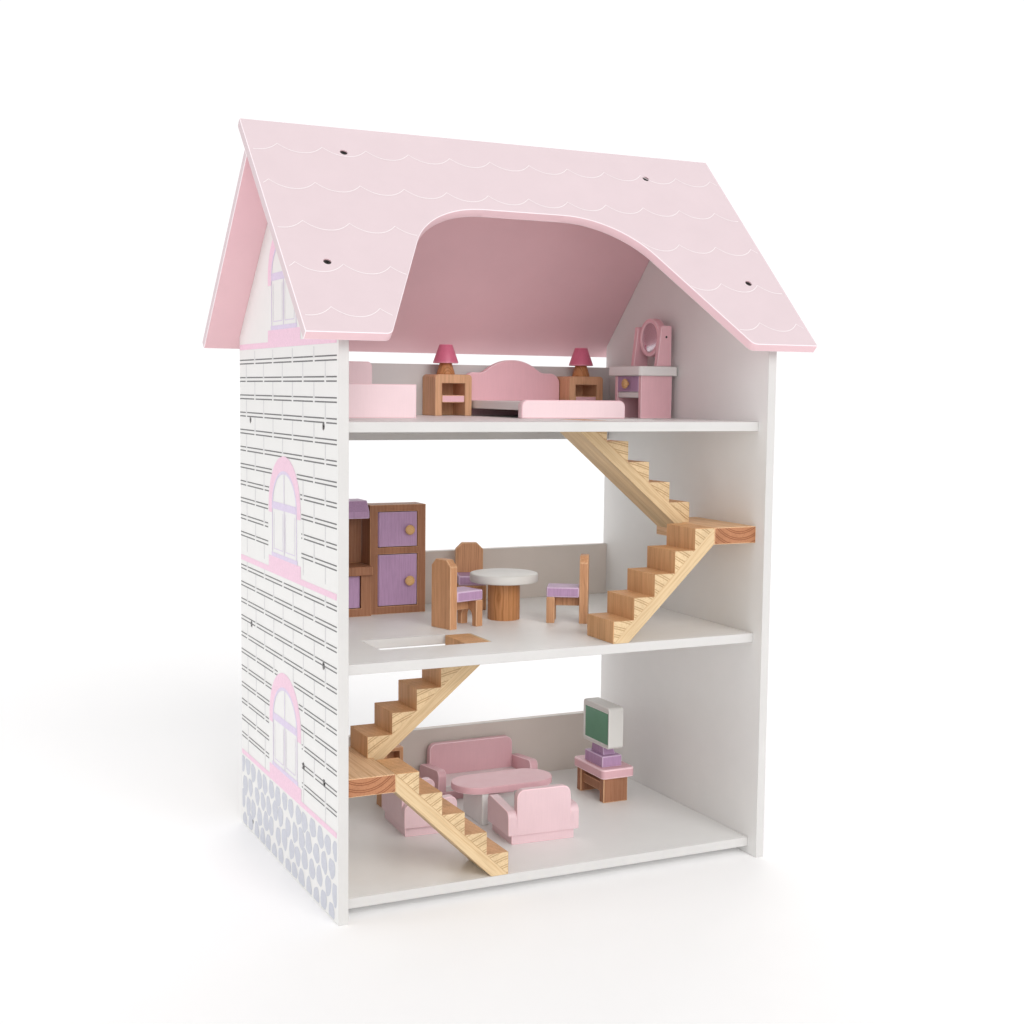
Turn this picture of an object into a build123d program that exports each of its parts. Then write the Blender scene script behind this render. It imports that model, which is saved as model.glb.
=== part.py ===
from build123d import *
from math import atan, cos, radians, sin, sqrt
import os

# A wooden dollhouse: two side walls, three floors with back rails, a 45 degree roof,
# two pairs of stairs with landings, and its loose furniture.
# Millimetres. +X is right, the open front faces -Y, +Z is up. The origin is on the
# surface that the house stands on, at the middle of its footprint.

os.makedirs("parts", exist_ok=True)

# ---------------------------------------------------------------- shell
house_width = 440.0
house_depth = 315.0
board = 9.0
eave_z = 508.0
inner_x = house_width / 2 - board
wall_y = house_depth / 2

ground_z = 17.0
middle_z = 222.0
attic_z = 429.0
floor_front_y = -wall_y + 14
rail_height = 82.0
rail_front_y = wall_y - board
ground_rail_z = 0.0
middle_rail_z = 198.0
attic_rail_z = 402.0

# The roof panels lie on the slanted wall edges. Slope distances start at the eave.
roof_length = 508.0
roof_low = -17.0
roof_front_top = 266.0
ridge_slope = wall_y * sqrt(2)
cutout_half_width = 180.0
cutout_slant = 65.0
cutout_radius = 90.0
cutout_flat_half = 42.0
cutout_top = 156.5
cutout_corner = 8.0

# Screws: heads sit in shallow counterbores.
screw_r = 1.5
screw_length = 26.0
head_r = 3.4
head_depth = 2.0
counterbore_r = 3.6
counterbore_depth = 2.6
floor_screw_y = 117.0
landing_screw_ys = (-118.3, -58.5)
roof_wall_screw_slope = 70.0
ridge_screw_x = 163.0

# ---------------------------------------------------------------- stairs
# Right-hand set, from a floor to the one above. The left-hand set is its mirror image.
step_count = 5
landing_edge_x = 163.0
landing_thickness = 16.4
landing_back_y = -37.5
stair_board = 11.6
lower_run = 22.0
lower_rise = 21.1
lower_back_y = -92.5
lower_width = lower_back_y - floor_front_y
upper_run = 24.0
upper_first_riser_x = {-1: 168.6, 1: 171.2}
upper_back_y = -39.0
upper_width = 47.0
hole_near_x = 46.0
hole_far_x = 157.0
hole_front_y = -88.0
hole_back_y = -37.0

# ---------------------------------------------------------------- attic furniture
bed_x = 21.2
bed_width = 117.0
bed_front_y = -9.0
footboard_thickness = 9.0
footboard_width = 119.0
footboard_height = 18.5
headboard_y = 134.0
headboard_thickness = 8.0
headboard_shoulder = 47.0
headboard_top = 61.0
headboard_corner = 12.0
shoulder_curve_x = 40.0
shoulder_curve_r = 14.0
bed_base_height = 8.0
bed_base_thickness = 8.5
bed_base_inset = 2.0

small_bed_x = -166.0
small_bed_width = 78.0
small_bed_front_y = 0.0
small_bed_length = 133.0
small_bed_foot = 32.5
small_bed_head = 56.0
small_bed_side = 26.0
small_bed_board = 8.0
small_bed_base = 8.0

stand_width = 42.5
stand_depth = 36.6
stand_height = 44.0
stand_wall = 8.0
stand_top = 9.5
stand_back = 4.0
stand_shelf = 8.0
stand_shelf_z = 14.0
stand_left_x = -22.0
stand_right_x = 139.0
stand_front_y = 111.6

lamp_foot_r = 10.0
lamp_neck_r = 6.7
lamp_foot_height = 12.0
lamp_shade_r = 13.7
lamp_shade_height = 20.2
lamp_shift = {"left": -1.5, "right": 2.75}

vanity_x = 167.0
vanity_depth = 38.0
vanity_front_y = 5.0
vanity_width = 54.5
vanity_height = 44.5
vanity_side = 5.5
vanity_back = 5.0
vanity_top_thickness = 10.2
vanity_top_overhang = 4.2
vanity_top_corner = 4.0
vanity_shelf_z = 21.2
vanity_shelf_thickness = 6.5
drawer_gap = 0.3
drawer_length = 31.0
drawer_wall = 3.0
drawer_knob_r = 5.3
upright_thickness = 6.5
upright_height = 42.8
mirror_x = 197.0
mirror_z = attic_z + 85.5
mirror_r = 20.4
mirror_thickness = 10.0
mirror_glass_r = 15.6
mirror_glass_thickness = 1.5
mirror_recess = 2.5
mirror_pin_r = 1.25
mirror_pin_gap = 0.05

# ---------------------------------------------------------------- middle furniture
tall_left_x = -99.3
tall_right_x = -37.2
tall_front_y = 99.0
kitchen_back_y = 127.0
tall_height = 114.6
kitchen_back = 3.0
door_left_x = -90.7
door_right_x = -46.1
lower_door_z = (8.0, 63.0)
upper_door_z = (70.0, 107.7)
unit_left_x = -160.0
unit_right_x = -100.0
unit_front_y = 93.0
unit_height = 42.8
unit_side = 6.0
side_door_x = (-146.6, -110.7)
side_door_bottom = 8.5
counter_front_y = 88.0
counter_thickness = 9.5
hood_bottom = 101.6
hood_height = 18.2
hood_lip = 7.0
hood_slope_depth = 8.0
door_thickness = 6.0
door_recess = 0.8
door_gap = 0.7
door_pin_r = 1.2
door_pin_gap = 0.05
door_pin_depth = 3.0
knob_r = 5.3
knob_neck_r = 2.2
knob_neck = 1.5
knob_head = 5.0

table_x = 20.6
table_y = 27.1
table_r = 35.1
table_height = 48.0
table_top_thickness = 9.0
table_base_r = 16.6

chair_depth = 42.0
chair_width = 30.0
chair_height = 69.0
chair_board = 8.8
chair_chamfer = 7.0
chair_seat_z = 26.5
chair_seat_thickness = 10.3
chair_arch_r = 8.0
chair_arch_height = 17.0
chair_rail_height = 10.0
chair_rail_thickness = 6.0

# ---------------------------------------------------------------- ground furniture
seat_depth = 55.0
arm_thickness = 9.2
arm_round = 7.0
seat_back_thickness = 8.0
seat_back_corner = 8.0
plinth_height = 9.5
plinth_inset = 4.5
plinth_end_inset = 2.0

coffee_x = 17.1
coffee_y = 19.5
coffee_length = 110.0
coffee_width = 52.0
coffee_height = 39.5
coffee_top_thickness = 7.0
coffee_leg_x = 29.5
coffee_leg_thickness = 7.5
coffee_leg_width = 48.0

tv_table_x = 131.0
tv_table_width = 40.0
tv_table_front_y = 9.0
tv_table_length = 67.0
tv_table_height = 37.0
tv_table_top_thickness = 10.5
tv_leg_thickness = 9.0
tv_leg_inset = 3.5
tv_leg_width = 29.5
tv_shelf_bottom = 10.0
tv_shelf_height = 10.0
tv_shelf_thickness = 9.0
tv_y = 36.5
tv_case_x = 137.0
tv_case_depth = 18.0
tv_case_width = 57.0
tv_case_height = 45.2
tv_case_z = ground_z + 58.8
tv_screen_width = 50.0
tv_screen_height = 33.5
tv_screen_z = ground_z + 63.5
tv_screen_y = 35.5
tv_screen_recess = 1.0
tv_screen_thickness = 0.6
tv_foot_y = 38.5
tv_foot_width = 39.0
tv_foot_depth = 24.0
tv_foot_height = 12.0

shelf_x = -88.3
shelf_width = 22.0
shelf_front_y = 86.0
shelf_depth = 22.0
shelf_height = 65.0
shelf_wall = 4.0

soft_edge = 0.8


def at_y(y):
    """The vertical plane across the house at y. It is extruded towards the front."""
    return Plane.XZ.offset(-y)


def at_x(x):
    """The vertical plane along the house at x. It is extruded towards +X."""
    return Plane.YZ.offset(x)


def at_z(z):
    return Plane.XY.offset(z)


def block(low, high):
    """A rectangular board between two opposite corners, added to the open part."""
    with BuildSketch(at_z(low[2])) as base:
        with Locations(((low[0] + high[0]) / 2, (low[1] + high[1]) / 2)):
            Rectangle(high[0] - low[0], high[1] - low[1])
    extrude(base.sketch, amount=high[2] - low[2])


def outline(points, plane, amount):
    """A straight-sided board, added to the open part."""
    with BuildSketch(plane) as side:
        with BuildLine():
            Polyline(*points, close=True)
        make_face()
    extrude(side.sketch, amount=amount)


def piece(low, high, edge=0.0, axis=Axis.Z):
    """A single board as a part, with its edges along one axis rounded."""
    with BuildPart() as made:
        block(low, high)
        if edge:
            fillet(made.edges().filter_by(axis), radius=edge)
    return made.part


def group(*parts):
    """Several separate solids as one shape."""
    return Compound([solid for part in parts for solid in part.solids()])


def save(name, shape):
    shape.label = name
    export_step(shape, f"parts/{name}.step")


# ---------------------------------------------------------------- places that repeat
roof_front_plane = Plane(
    origin=(0, -wall_y, eave_z), x_dir=(1, 0, 0), z_dir=(0, -1, 1)
)
roof_back_plane = Plane(origin=(0, wall_y, eave_z), x_dir=(-1, 0, 0), z_dir=(0, 1, 1))
wall_mid_x = house_width / 2 - board / 2
floor_tops = (ground_z, middle_z, attic_z)
stair_floors = {-1: (ground_z, middle_z), 1: (middle_z, attic_z)}
landing_tops = {side: low + step_count * lower_rise for side, (low, high) in stair_floors.items()}


def wall_screw_planes():
    """Outer faces of the side walls at each screw, with the normal pointing outwards."""
    planes = []
    for side in (-1, 1):
        marks = [(y, top - board / 2) for top in floor_tops for y in (-floor_screw_y, floor_screw_y)]
        middle = landing_tops[side] - landing_thickness / 2
        marks += [(y, middle) for y in landing_screw_ys]
        for y, z in marks:
            face = (side * house_width / 2, y, z)
            planes.append(Plane(origin=face, x_dir=(0, 1, 0), z_dir=(side, 0, 0)))
    return planes


def roof_screw_planes():
    """Outer faces of the roof panels at each screw."""
    planes = []
    ridge_centre = ridge_slope + board / 2
    marks = [(x, roof_wall_screw_slope) for x in (-wall_mid_x, wall_mid_x)]
    ridge = [(x, ridge_centre) for x in (-ridge_screw_x, ridge_screw_x)]
    for plane, places in ((roof_front_plane, marks + ridge), (roof_back_plane, marks)):
        for x, slope in places:
            origin = plane.from_local_coords((x, slope, board))
            planes.append(Plane(origin=origin, x_dir=plane.x_dir, z_dir=plane.z_dir))
    return planes


all_screw_planes = wall_screw_planes() + roof_screw_planes()


def screw_holes(planes):
    """Cuts each screw's clearance: a counterbore for the head and a hole for the shank."""
    for plane in planes:
        with BuildSketch(plane) as bore:
            Circle(counterbore_r)
        extrude(bore.sketch, amount=-counterbore_depth, mode=Mode.SUBTRACT)
        with BuildSketch(plane) as shank:
            Circle(screw_r)
        extrude(shank.sketch, amount=-screw_length, mode=Mode.SUBTRACT)


# ---------------------------------------------------------------- side walls
def side_wall(side):
    """A five-sided wall with its gable, and the screw holes of that side."""
    planes = [p for p in all_screw_planes if p.origin.X * side > 0]
    with BuildPart() as wall:
        profile = (
            (-wall_y, 0),
            (wall_y, 0),
            (wall_y, eave_z),
            (0, eave_z + wall_y),
            (-wall_y, eave_z),
        )
        start = inner_x if side > 0 else -house_width / 2
        outline(profile, at_x(start), board)
        screw_holes(planes)
    return wall.part


save("left_wall", side_wall(-1))
save("right_wall", side_wall(1))


# ---------------------------------------------------------------- floors and rails
def floor(top, hole_side):
    """A floor board between the walls, with the stair hole on the side given."""
    with BuildPart() as made:
        block((-inner_x, floor_front_y, top - board), (inner_x, rail_front_y, top))
        if hole_side:
            near = hole_side * hole_near_x
            far = hole_side * hole_far_x
            with BuildSketch(at_z(top)):
                with Locations(((near + far) / 2, (hole_front_y + hole_back_y) / 2)):
                    Rectangle(abs(far - near), hole_back_y - hole_front_y)
            extrude(amount=-board, mode=Mode.SUBTRACT)
        level = [p for p in wall_screw_planes() if abs(p.origin.Z - top + board / 2) < 1]
        screw_holes(level)
    return made.part


save("ground_floor", floor(ground_z, 0))
save("middle_floor", floor(middle_z, -1))
save("attic_floor", floor(attic_z, 1))

rails = {
    "ground_back_rail": ground_rail_z,
    "middle_back_rail": middle_rail_z,
    "attic_back_rail": attic_rail_z,
}
for rail_name, rail_z in rails.items():
    rail_low = (-inner_x, rail_front_y, rail_z)
    rail_high = (inner_x, wall_y, rail_z + rail_height)
    save(rail_name, piece(rail_low, rail_high))


# ---------------------------------------------------------------- roof
def cutout_points():
    """Ends of the round shoulder of the cut-out, right-hand side."""
    centre = (cutout_flat_half, cutout_top - cutout_radius)
    out = radians(cutout_slant)
    start = (
        centre[0] + cutout_radius * sin(out),
        centre[1] + cutout_radius * cos(out),
    )
    mid_angle = (radians(90) + radians(90 - cutout_slant)) / 2
    middle = (
        centre[0] + cutout_radius * cos(mid_angle),
        centre[1] + cutout_radius * sin(mid_angle),
    )
    return start, middle, (cutout_flat_half, cutout_top)


with BuildPart() as roof_front:
    arc_start, arc_middle, arc_end = cutout_points()
    with BuildSketch(roof_front_plane):
        with Locations((0, (roof_low + roof_front_top) / 2)):
            Rectangle(roof_length, roof_front_top - roof_low)
    extrude(amount=board)
    with BuildSketch(roof_front_plane):
        with BuildLine():
            Line((cutout_half_width, roof_low), arc_start)
            ThreePointArc(arc_start, arc_middle, arc_end)
            Line(arc_end, (-arc_end[0], arc_end[1]))
            ThreePointArc(
                (-arc_end[0], arc_end[1]),
                (-arc_middle[0], arc_middle[1]),
                (-arc_start[0], arc_start[1]),
            )
            Line((-arc_start[0], arc_start[1]), (-cutout_half_width, roof_low))
            Line((-cutout_half_width, roof_low), (cutout_half_width, roof_low))
        make_face()
    extrude(amount=board, mode=Mode.SUBTRACT)
    across = roof_front.edges().filter_by(lambda e: abs(e.length - board) < 0.01)
    low_corners = across.filter_by(lambda e: abs(e.center().X) < cutout_half_width + 1)
    fillet(low_corners.group_by(Axis.Z)[0], radius=cutout_corner)
    screw_holes([p for p in roof_screw_planes() if p.z_dir.Y < 0])
save("roof_front", roof_front.part)

with BuildPart() as roof_back:
    with BuildSketch(roof_back_plane):
        with Locations((0, (roof_low + ridge_slope) / 2)):
            Rectangle(roof_length, ridge_slope - roof_low)
    extrude(amount=board)
    screw_holes(roof_screw_planes())
save("roof_back", roof_back.part)

# Every screw: a flat head in its counterbore and a plain shank.
with BuildPart() as screws:
    for screw_plane in all_screw_planes:
        head_plane = screw_plane.offset(-counterbore_depth)
        with BuildSketch(head_plane):
            Circle(head_r)
        extrude(amount=head_depth)
        with BuildSketch(head_plane):
            Circle(screw_r)
        extrude(amount=-(screw_length - counterbore_depth))
save("screws", screws.part)


# ---------------------------------------------------------------- stairs
def stairs(side):
    """A landing, two sloped boards and two sets of wedge steps, on one side."""
    base_z, head_z = stair_floors[side]
    landing_top = landing_tops[side]
    landing_x = (side * landing_edge_x, side * inner_x)
    with BuildPart() as landing:
        low = (min(landing_x), floor_front_y, landing_top - landing_thickness)
        block(low, (max(landing_x), landing_back_y, landing_top))
        own = [p for p in wall_screw_planes() if p.origin.X * side > 0]
        height = landing_top - landing_thickness / 2
        screw_holes([p for p in own if abs(p.origin.Z - height) < 1])

    def sides(points):
        return [(side * x, z) for x, z in points]

    # lower flight, from the floor up to the landing
    slope = lower_rise / lower_run
    thick = stair_board / cos(atan(slope))
    first_x = landing_edge_x - step_count * lower_run
    lower_profile = (
        (first_x, base_z),
        (first_x + thick / slope, base_z),
        (landing_edge_x, landing_top - thick),
        (landing_edge_x, landing_top),
    )
    with BuildPart() as lower_board:
        outline(sides(lower_profile), at_y(lower_back_y), lower_width)
    steps = []
    for i in range(step_count):
        riser = first_x + i * lower_run
        top = base_z + (i + 1) * lower_rise
        wedge = [(riser, top - lower_rise), (riser + lower_run, top), (riser, top)]
        with BuildPart() as step:
            outline(sides(wedge), at_y(lower_back_y), lower_width)
        steps.append(step.part)

    # upper flight, back over the first one, up into the hole in the floor above
    upper_rise = (head_z - landing_top) / step_count
    slope = upper_rise / upper_run
    thick = stair_board / cos(atan(slope))
    first_x = upper_first_riser_x[side]
    last_x = first_x - step_count * upper_run

    def underside(x):
        """Height of the upper board's lower face at x."""
        return landing_top + (first_x - x) * slope - thick

    upper_profile = (
        (first_x, landing_top),
        (landing_edge_x, landing_top),
        (landing_edge_x, underside(landing_edge_x)),
        (hole_near_x, underside(hole_near_x)),
        (hole_near_x, head_z),
        (last_x, head_z),
    )
    with BuildPart() as upper_board:
        outline(sides(upper_profile), at_y(upper_back_y), upper_width)
    for i in range(step_count):
        riser = first_x - i * upper_run
        top = landing_top + (i + 1) * upper_rise
        wedge = [(riser, top - upper_rise), (riser - upper_run, top), (riser, top)]
        with BuildPart() as step:
            outline(sides(wedge), at_y(upper_back_y), upper_width)
        steps.append(step.part)
    return landing.part, group(lower_board.part, upper_board.part), group(*steps)


for stair_name, stair_side in (("left", -1), ("right", 1)):
    landing_part, board_parts, step_parts = stairs(stair_side)
    save(f"{stair_name}_landing", landing_part)
    save(f"{stair_name}_stair_boards", board_parts)
    save(f"{stair_name}_stair_steps", step_parts)

# ---------------------------------------------------------------- double bed
with BuildPart() as headboard:
    half = bed_width / 2
    middle_x = bed_x + half
    rise = shoulder_curve_r + headboard_shoulder - headboard_top
    arch_r = (shoulder_curve_x**2 + rise**2 - shoulder_curve_r**2) / (
        2 * (shoulder_curve_r - rise)
    )
    reach = arch_r / (arch_r + shoulder_curve_r)
    join_x = shoulder_curve_x * reach
    arch_centre = headboard_top - arch_r
    join_z = arch_centre + (headboard_shoulder + shoulder_curve_r - arch_centre) * reach
    head_plane = Plane(
        origin=(middle_x, headboard_y + headboard_thickness, attic_z),
        x_dir=(1, 0, 0),
        z_dir=(0, -1, 0),
    )
    with BuildSketch(head_plane):
        with BuildLine():
            Line((half, 0), (half, headboard_shoulder))
            Line((half, headboard_shoulder), (shoulder_curve_x, headboard_shoulder))
            bend = RadiusArc(
                (shoulder_curve_x, headboard_shoulder), (join_x, join_z), shoulder_curve_r
            )
            ThreePointArc((join_x, join_z), (0, headboard_top), (-join_x, join_z))
            RadiusArc(
                (-join_x, join_z), (-shoulder_curve_x, headboard_shoulder), shoulder_curve_r
            )
            Line((-shoulder_curve_x, headboard_shoulder), (-half, headboard_shoulder))
            Line((-half, headboard_shoulder), (-half, 0))
            Line((-half, 0), (half, 0))
        make_face()
        corners = vertices().filter_by(lambda v: abs(abs(v.X) - half) < 0.01 and v.Y > 1)
        fillet(corners, radius=headboard_corner)
    extrude(amount=headboard_thickness)
save("double_bed_headboard", headboard.part)

with BuildPart() as footboard:
    block(
        (bed_x, bed_front_y, attic_z),
        (bed_x + footboard_width, bed_front_y + footboard_thickness, attic_z + footboard_height),
    )
    upper_edges = footboard.edges().filter_by(Axis.Y).group_by(Axis.Z)[-1]
    fillet(upper_edges, radius=7)
save("double_bed_footboard", footboard.part)

bed_base = piece(
    (bed_x + bed_base_inset, bed_front_y + footboard_thickness, attic_z + bed_base_height),
    (
        bed_x + bed_width - bed_base_inset,
        headboard_y,
        attic_z + bed_base_height + bed_base_thickness,
    ),
)
save("double_bed_base", bed_base)

# ---------------------------------------------------------------- small bed
small_right = small_bed_x + small_bed_width
small_back = small_bed_front_y + small_bed_length
small_foot = piece(
    (small_bed_x, small_bed_front_y, attic_z),
    (small_right, small_bed_front_y + small_bed_board, attic_z + small_bed_foot),
)
with BuildPart() as small_head:
    block(
        (small_bed_x, small_back - small_bed_board, attic_z),
        (small_right, small_back, attic_z + small_bed_head),
    )
    fillet(small_head.edges().filter_by(Axis.Y).group_by(Axis.Z)[-1], radius=5)
small_sides = [
    piece(
        (x, small_bed_front_y + small_bed_board, attic_z),
        (x + small_bed_board, small_back - small_bed_board, attic_z + small_bed_side),
    )
    for x in (small_bed_x, small_right - small_bed_board)
]
save("small_bed_frame", group(small_foot, small_head.part, *small_sides))
small_base = piece(
    (small_bed_x + small_bed_board, small_bed_front_y + small_bed_board, attic_z + 6),
    (
        small_right - small_bed_board,
        small_back - small_bed_board,
        attic_z + 6 + small_bed_base,
    ),
)
save("small_bed_base", small_base)


# ---------------------------------------------------------------- nightstands and lamps
def nightstand(x):
    """A solid block hollowed from the front, with a shelf between its sides."""
    with BuildPart() as frame:
        block(
            (x, stand_front_y, attic_z),
            (x + stand_width, stand_front_y + stand_depth, attic_z + stand_height),
        )
        fillet(frame.edges().filter_by(Axis.Y).group_by(Axis.Z)[-1], radius=4)
        with BuildSketch(at_y(stand_front_y + stand_depth - stand_back)):
            with Locations((x + stand_width / 2, attic_z + (stand_height - stand_top) / 2)):
                Rectangle(stand_width - 2 * stand_wall, stand_height - stand_top)
        extrude(amount=stand_depth, mode=Mode.SUBTRACT)
    shelf = piece(
        (x + stand_wall, stand_front_y + soft_edge, attic_z + stand_shelf_z),
        (
            x + stand_width - stand_wall,
            stand_front_y + stand_depth - stand_back,
            attic_z + stand_shelf_z + stand_shelf,
        ),
    )
    return group(frame.part, shelf)


def lamp(x):
    """A turned foot with a conical shade on it, centred at x."""
    centre = (x, stand_front_y + stand_depth / 2 + 0.5)
    foot_z = attic_z + stand_height
    with BuildPart() as foot:
        with BuildSketch(at_z(foot_z)):
            with Locations(centre):
                Circle(lamp_foot_r)
        with BuildSketch(at_z(foot_z + lamp_foot_height)):
            with Locations(centre):
                Circle(lamp_neck_r)
        loft()
    with BuildPart() as shade:
        with BuildSketch(at_z(foot_z + lamp_foot_height)):
            with Locations(centre):
                Circle(lamp_shade_r)
        with BuildSketch(at_z(foot_z + lamp_foot_height + lamp_shade_height)):
            with Locations(centre):
                Circle(lamp_neck_r)
        loft()
    return group(foot.part, shade.part)


for stand_name, stand_x in (("left", stand_left_x), ("right", stand_right_x)):
    save(f"{stand_name}_nightstand", nightstand(stand_x))
    lamp_x = stand_x + stand_width / 2 + lamp_shift[stand_name]
    save(f"{stand_name}_lamp", lamp(lamp_x))


# ---------------------------------------------------------------- knobs
def knob(centre, direction, radius):
    """A turned knob that stands on centre and points along direction."""
    plane = Plane(origin=centre, z_dir=direction)
    widest = knob_neck + knob_head * 0.45
    with BuildPart() as made:
        with BuildSketch(plane):
            Circle(knob_neck_r)
        extrude(amount=knob_neck)
        with BuildSketch(plane.offset(knob_neck)):
            Circle(radius * 0.8)
        with BuildSketch(plane.offset(widest)):
            Circle(radius)
        loft()
        with BuildSketch(plane.offset(widest)):
            Circle(radius)
        with BuildSketch(plane.offset(knob_neck + knob_head)):
            Circle(radius * 0.6)
        loft()
    return made.part


# ---------------------------------------------------------------- vanity
vanity_back_x = vanity_x + vanity_depth
vanity_far_y = vanity_front_y + vanity_width
vanity_top_z = attic_z + vanity_height
vanity_inner = (vanity_front_y + vanity_side, vanity_far_y - vanity_side)
vanity_sides = [
    piece((vanity_x, y, attic_z), (vanity_back_x, y + vanity_side, vanity_top_z))
    for y in (vanity_front_y, vanity_far_y - vanity_side)
]
vanity_back_board = piece(
    (vanity_back_x - vanity_back, vanity_inner[0], attic_z),
    (vanity_back_x, vanity_inner[1], vanity_top_z),
)
save("vanity_body", group(*vanity_sides, vanity_back_board))

vanity_top = piece(
    (vanity_x - vanity_top_overhang, vanity_front_y - 4.5, vanity_top_z),
    (inner_x - 1, vanity_far_y + 9, vanity_top_z + vanity_top_thickness),
    edge=vanity_top_corner,
)
vanity_shelf = piece(
    (vanity_x + soft_edge, vanity_inner[0], attic_z + vanity_shelf_z),
    (
        vanity_back_x - vanity_back,
        vanity_inner[1],
        attic_z + vanity_shelf_z + vanity_shelf_thickness,
    ),
)
save("vanity_top_and_shelf", group(vanity_top, vanity_shelf))

drawer_low_z = attic_z + vanity_shelf_z + vanity_shelf_thickness
with BuildPart() as drawer:
    block(
        (vanity_x, vanity_inner[0] + drawer_gap, drawer_low_z),
        (vanity_x + drawer_length, vanity_inner[1] - drawer_gap, vanity_top_z - drawer_gap),
    )
    with BuildSketch(at_z(vanity_top_z - drawer_gap)):
        with Locations((vanity_x + drawer_length / 2 + 0.5, sum(vanity_inner) / 2)):
            Rectangle(
                drawer_length - 2 * drawer_wall - 1,
                vanity_inner[1] - vanity_inner[0] - 2 * (drawer_gap + drawer_wall),
            )
    extrude(
        amount=-(vanity_top_z - drawer_gap - drawer_low_z - drawer_wall), mode=Mode.SUBTRACT
    )
drawer_knob = knob(
    (vanity_x, sum(vanity_inner) / 2, (drawer_low_z + vanity_top_z) / 2), (-1, 0, 0), drawer_knob_r
)
save("vanity_drawer", group(drawer.part, drawer_knob))

upright_z = vanity_top_z + vanity_top_thickness
upright_profile = (
    (mirror_x - 11.0, upright_z),
    (mirror_x + 6.8, upright_z),
    (mirror_x + 6.0, upright_z + upright_height),
    (mirror_x - 6.2, upright_z + upright_height),
)
mirror_y = vanity_front_y + vanity_width / 2
uprights = []
for upright_back_y in (vanity_front_y + upright_thickness, vanity_far_y):
    with BuildPart() as upright:
        outline(upright_profile, at_y(upright_back_y), upright_thickness)
        fillet(upright.edges().filter_by(Axis.Y).group_by(Axis.Z)[-1], radius=2)
        with BuildSketch(at_y(upright_back_y)):
            with Locations((mirror_x, mirror_z)):
                Circle(mirror_pin_r + mirror_pin_gap)
        extrude(amount=upright_thickness, mode=Mode.SUBTRACT)
    uprights.append(upright.part)
save("mirror_uprights", group(*uprights))

mirror_face_x = mirror_x - mirror_thickness / 2
pin_reach = 4.0
with BuildPart() as mirror_ring:
    with BuildSketch(at_x(mirror_face_x)):
        with Locations((mirror_y, mirror_z)):
            Circle(mirror_r)
    extrude(amount=mirror_thickness)
    fillet(mirror_ring.edges().filter_by(GeomType.CIRCLE), radius=1.5)
    with BuildSketch(at_x(mirror_face_x)):
        with Locations((mirror_y, mirror_z)):
            Circle(mirror_glass_r)
    extrude(amount=mirror_recess, mode=Mode.SUBTRACT)
    for end_y in (mirror_y + mirror_r + 1, mirror_y - mirror_r + pin_reach):
        with BuildSketch(at_y(end_y)):
            with Locations((mirror_x, mirror_z)):
                Circle(mirror_pin_r)
        extrude(amount=pin_reach + 1, mode=Mode.SUBTRACT)
mirror_pins = []
for near_y, far_y in (
    (vanity_front_y, mirror_y - mirror_r + pin_reach),
    (mirror_y + mirror_r - pin_reach, vanity_far_y),
):
    with BuildPart() as pin:
        with BuildSketch(at_y(far_y)):
            with Locations((mirror_x, mirror_z)):
                Circle(mirror_pin_r)
        extrude(amount=far_y - near_y)
    mirror_pins.append(pin.part)
save("mirror_ring", group(mirror_ring.part, *mirror_pins))

with BuildPart() as mirror_glass:
    glass_x = mirror_face_x + mirror_recess - mirror_glass_thickness
    with BuildSketch(at_x(glass_x)):
        with Locations((mirror_y, mirror_z)):
            Circle(mirror_glass_r)
    extrude(amount=mirror_glass_thickness)
save("mirror_glass", mirror_glass.part)


# ---------------------------------------------------------------- kitchen
def pin_hole(x, y, z, depth):
    """A blind hole for a door pin, drilled up from z, or down if depth is negative."""
    with BuildSketch(at_z(z)) as hole:
        with Locations((x, y)):
            Circle(door_pin_r + door_pin_gap)
    extrude(hole.sketch, amount=depth, mode=Mode.SUBTRACT)


def opening(low, high):
    """A rectangular space between two opposite corners, cut from the open part."""
    with BuildSketch(at_z(low[2])) as base:
        with Locations(((low[0] + high[0]) / 2, (low[1] + high[1]) / 2)):
            Rectangle(high[0] - low[0], high[1] - low[1])
    extrude(base.sketch, amount=high[2] - low[2], mode=Mode.SUBTRACT)


tall_pivot = (
    door_left_x + door_gap + door_thickness / 2,
    tall_front_y + door_recess + door_thickness / 2,
)
side_pivot = (
    side_door_x[1] - door_gap - door_thickness / 2,
    unit_front_y + door_recess + door_thickness / 2,
)
cupboard_back_y = kitchen_back_y - kitchen_back
unit_top_z = middle_z + unit_height

with BuildPart() as tall_case:
    block(
        (tall_left_x, tall_front_y, middle_z),
        (tall_right_x, kitchen_back_y, middle_z + tall_height),
    )
    for door_bottom, door_top in (lower_door_z, upper_door_z):
        opening(
            (door_left_x, tall_front_y - 1, middle_z + door_bottom),
            (door_right_x, cupboard_back_y, middle_z + door_top),
        )
        pin_hole(*tall_pivot, middle_z + door_bottom, -door_pin_depth - 0.1)
        pin_hole(*tall_pivot, middle_z + door_top, door_pin_depth + 0.1)

with BuildPart() as unit_case:
    block(
        (unit_left_x, unit_front_y, middle_z),
        (unit_right_x, kitchen_back_y, unit_top_z),
    )
    opening(
        (side_door_x[0], unit_front_y - 1, middle_z + side_door_bottom),
        (side_door_x[1], cupboard_back_y, unit_top_z),
    )
    pin_hole(*side_pivot, middle_z + side_door_bottom, -door_pin_depth - 0.1)

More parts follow.
